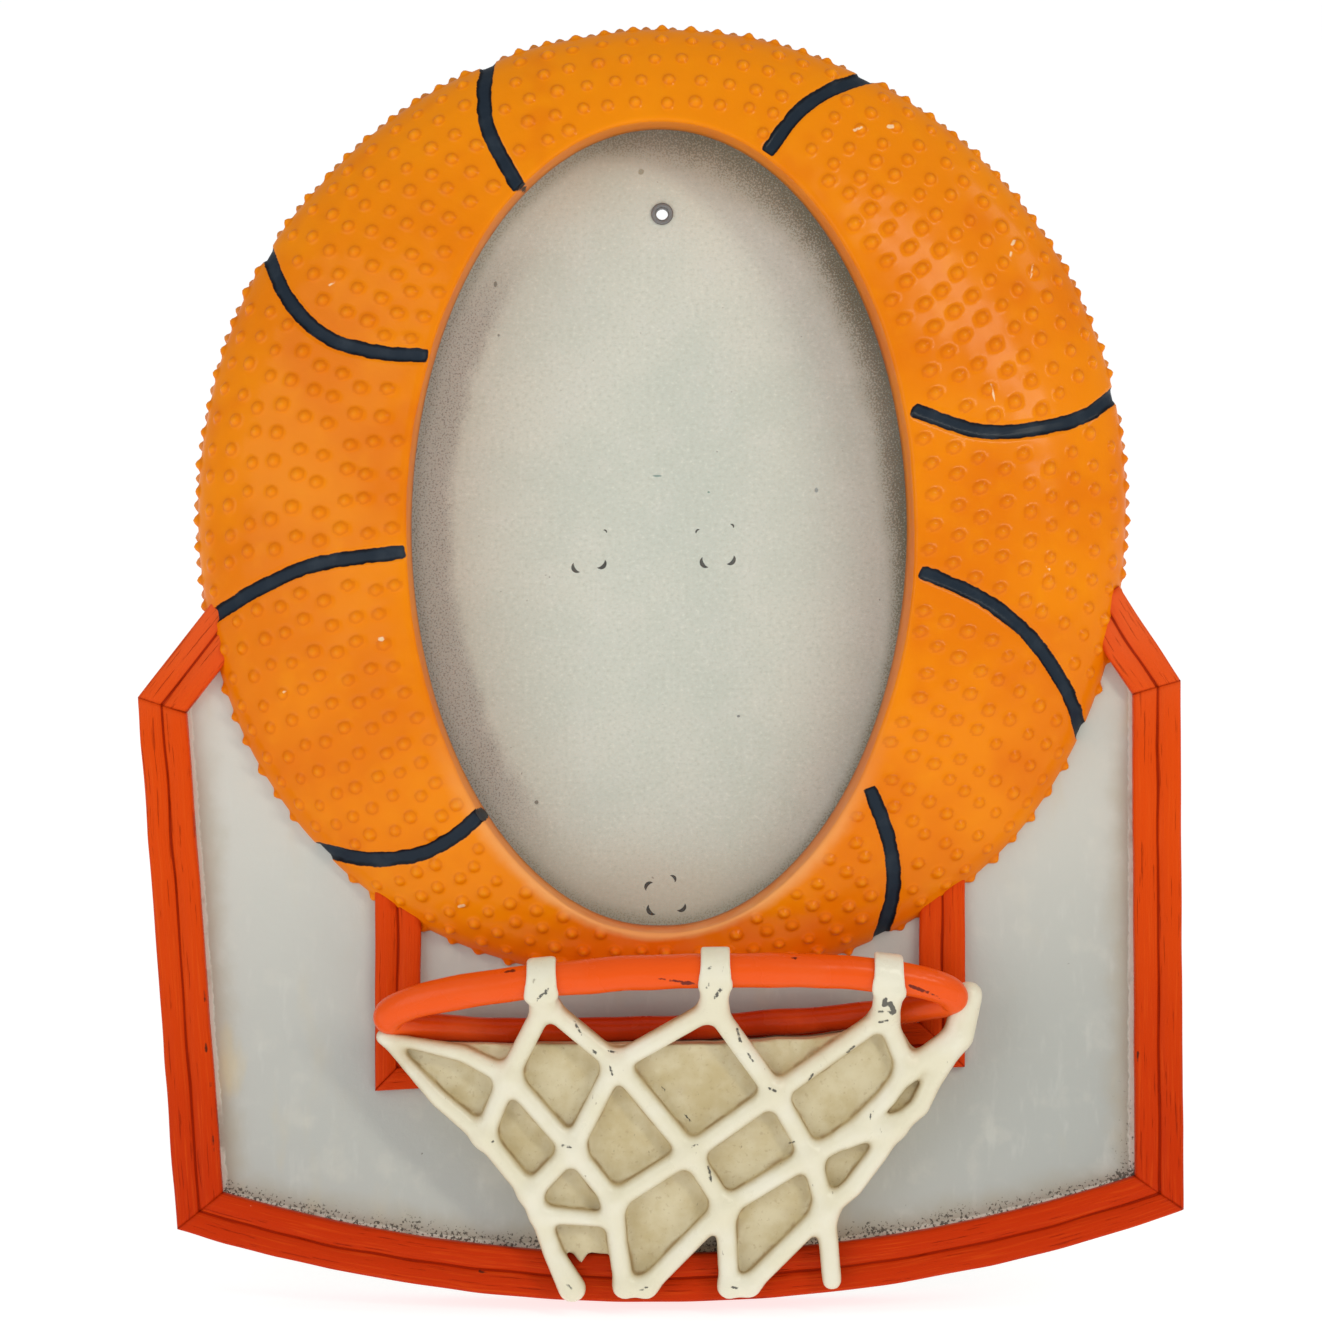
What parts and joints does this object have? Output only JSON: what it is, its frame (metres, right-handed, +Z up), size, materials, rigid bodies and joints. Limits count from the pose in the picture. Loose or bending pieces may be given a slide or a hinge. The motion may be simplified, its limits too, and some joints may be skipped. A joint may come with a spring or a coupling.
{
  "type": "tabletop photo frame",
  "caption": "Cast sports-themed photo frame with an oval window in a domed ball, a backboard, a hoop and net in relief, and an easel leg.",
  "frame": {"origin": "on the table, under the middle of the bounding box of the standing frame", "axes": "+X to the right as the frame is looked at, +Y to the back where the leg stands, +Z up; the casting leans back 14 degrees"},
  "size_m": [0.1922, 0.078, 0.2287],
  "materials": {
    "ball_paint": "semi-gloss orange paint on cast resin",
    "panel_paint": "satin light grey paint, dirty at the edges",
    "rail_paint": "semi-gloss red-orange paint",
    "hoop_paint": "gloss red-orange paint",
    "net_paint": "glossy ivory paint with an ochre wash",
    "glass": "clear float glass",
    "chipboard": "raw grey board",
    "black_card": "black embossed paper on board",
    "steel": "plated",
    "brass": "brass-plated",
    "ribbon_cloth": "woven black ribbon"
  },
  "bodies": {
    "frame": {"ball_ring": "ball_paint", "backboard_panel": "panel_paint", "upper_left_rail": "rail_paint", "left_rail": "rail_paint", "lower_rail": "rail_paint", "right_rail": "rail_paint", "upper_right_rail": "rail_paint", "target_left_rail": "rail_paint", "target_lower_rail": "rail_paint", "target_right_rail": "rail_paint", "hoop": "hoop_paint", "net": "net_paint", "glass_pane": "glass", "back_board": "chipboard", "back_cover": "black_card", "hanging_eyelet": "steel", "ribbon_anchor_board": "steel", "turn_button_screw_1": "steel", "turn_button_screw_2": "steel", "turn_button_screw_3": "steel", "turn_button_screw_4": "steel", "hinge_fixed_leaf": "steel", "hinge_pin": "steel", "stay_ribbon": "ribbon_cloth"},
    "leg": {"hinge_moving_leaf": "steel", "easel_leg": "black_card", "ribbon_anchor_leg": "steel"},
    "button_1": {"turn_button_1": "brass"},
    "button_2": {"turn_button_2": "brass"},
    "button_3": {"turn_button_3": "brass"},
    "button_4": {"turn_button_4": "brass"}
  },
  "joints": [
    {"name": "leg_hinge", "type": "hinge", "parent": "frame", "child": "leg", "pos_m": [0, 0.01292, 0.12723], "axis": [1, 0, 0], "range_deg": [-24, 0], "deforming": ["stay_ribbon"]},
    {"name": "button_1_turn", "type": "hinge", "parent": "frame", "child": "button_1", "pos_m": [-0.04892, 0.02285, 0.18154], "axis": [0, 0.9703, -0.2419], "continuous": true},
    {"name": "button_2_turn", "type": "hinge", "parent": "frame", "child": "button_2", "pos_m": [-0.04892, 0.00108, 0.09422], "axis": [0, 0.9703, -0.2419], "continuous": true},
    {"name": "button_3_turn", "type": "hinge", "parent": "frame", "child": "button_3", "pos_m": [0.04891, 0.02285, 0.18154], "axis": [0, 0.9703, -0.2419], "continuous": true},
    {"name": "button_4_turn", "type": "hinge", "parent": "frame", "child": "button_4", "pos_m": [0.04891, 0.00108, 0.09422], "axis": [0, 0.9703, -0.2419], "continuous": true}
  ]
}
